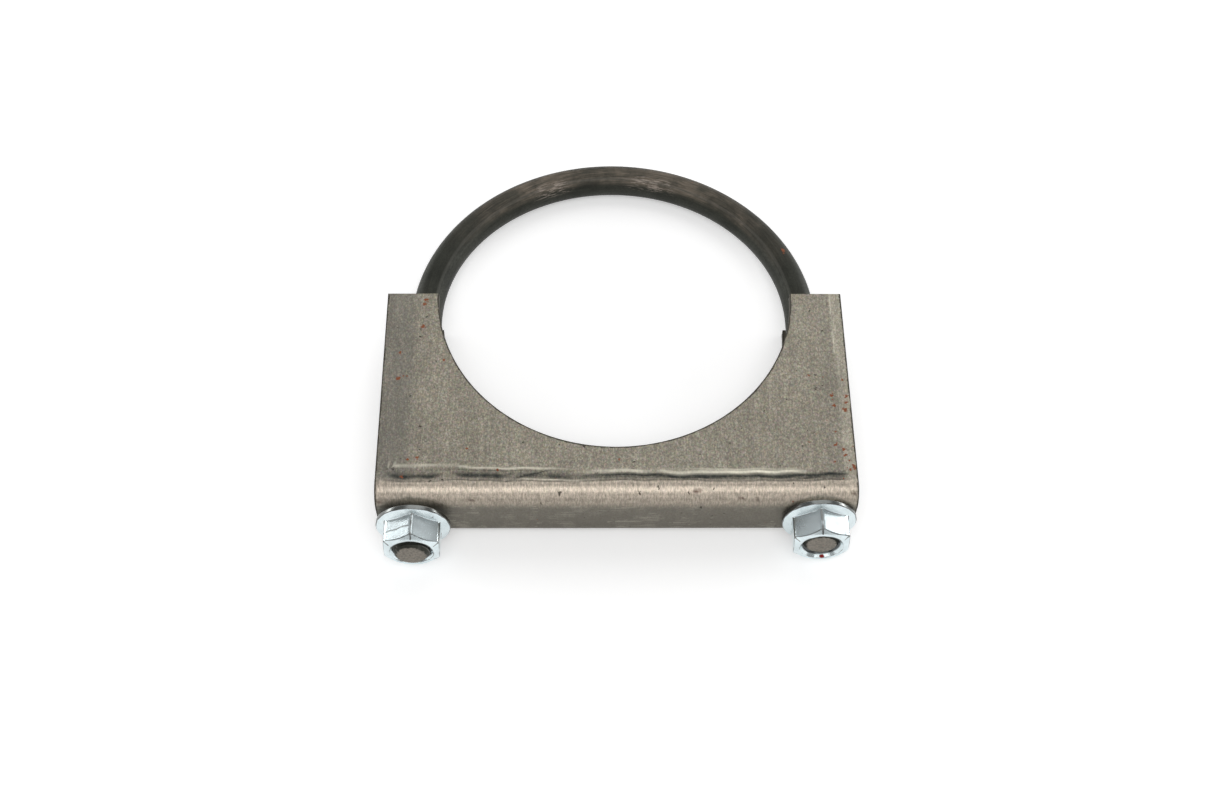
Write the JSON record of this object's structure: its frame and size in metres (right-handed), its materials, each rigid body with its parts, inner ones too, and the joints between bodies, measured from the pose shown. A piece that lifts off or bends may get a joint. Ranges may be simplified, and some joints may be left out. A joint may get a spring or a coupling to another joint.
{
  "type": "saddle clamp",
  "caption": "Round-tube saddle clamp: a pressed channel saddle and a threaded U-bolt drawn together by flange nuts.",
  "frame": {"origin": "on the axis of the tube seat, half-way up the channel, level with the ends of the saddle's arms", "axes": "+Z along the tube that is clamped, +Y from the saddle's web towards the crown of the bow, +X across the clamp"},
  "size_m": [0.1232, 0.1302, 0.0206],
  "materials": {
    "saddle_steel": "bare pressed sheet, dull, with light rust",
    "rod_steel": "dark mill scale, worn",
    "zinc_plate": "bright zinc plating"
  },
  "bodies": {
    "saddle": {"saddle": "saddle_steel"},
    "bolt": {"u_bolt": "rod_steel"},
    "left_nut": {"nut_left": "zinc_plate"},
    "right_nut": {"nut_right": "zinc_plate"}
  },
  "joints": [
    {"name": "left_nut_turn", "type": "hinge", "parent": "saddle", "child": "left_nut", "pos_m": [-0.05205, -0.0626, 0.00048], "axis": [0, 0.9984, -0.0558], "range_deg": [0, 5760]},
    {"name": "right_nut_turn", "type": "hinge", "parent": "saddle", "child": "right_nut", "pos_m": [0.05205, -0.0626, 0.00048], "axis": [0, 0.9984, -0.0558], "range_deg": [0, 5760]},
    {"name": "bolt_draw", "type": "slide", "parent": "saddle", "child": "bolt", "axis": [0, -0.9984, 0.0558], "range_m": [0, 0.0254]}
  ],
  "couplings": [
    {"joint": "left_nut_turn", "follows": "bolt_draw", "rad_per_m": 3957.9},
    {"joint": "right_nut_turn", "follows": "bolt_draw", "rad_per_m": 3957.9}
  ]
}
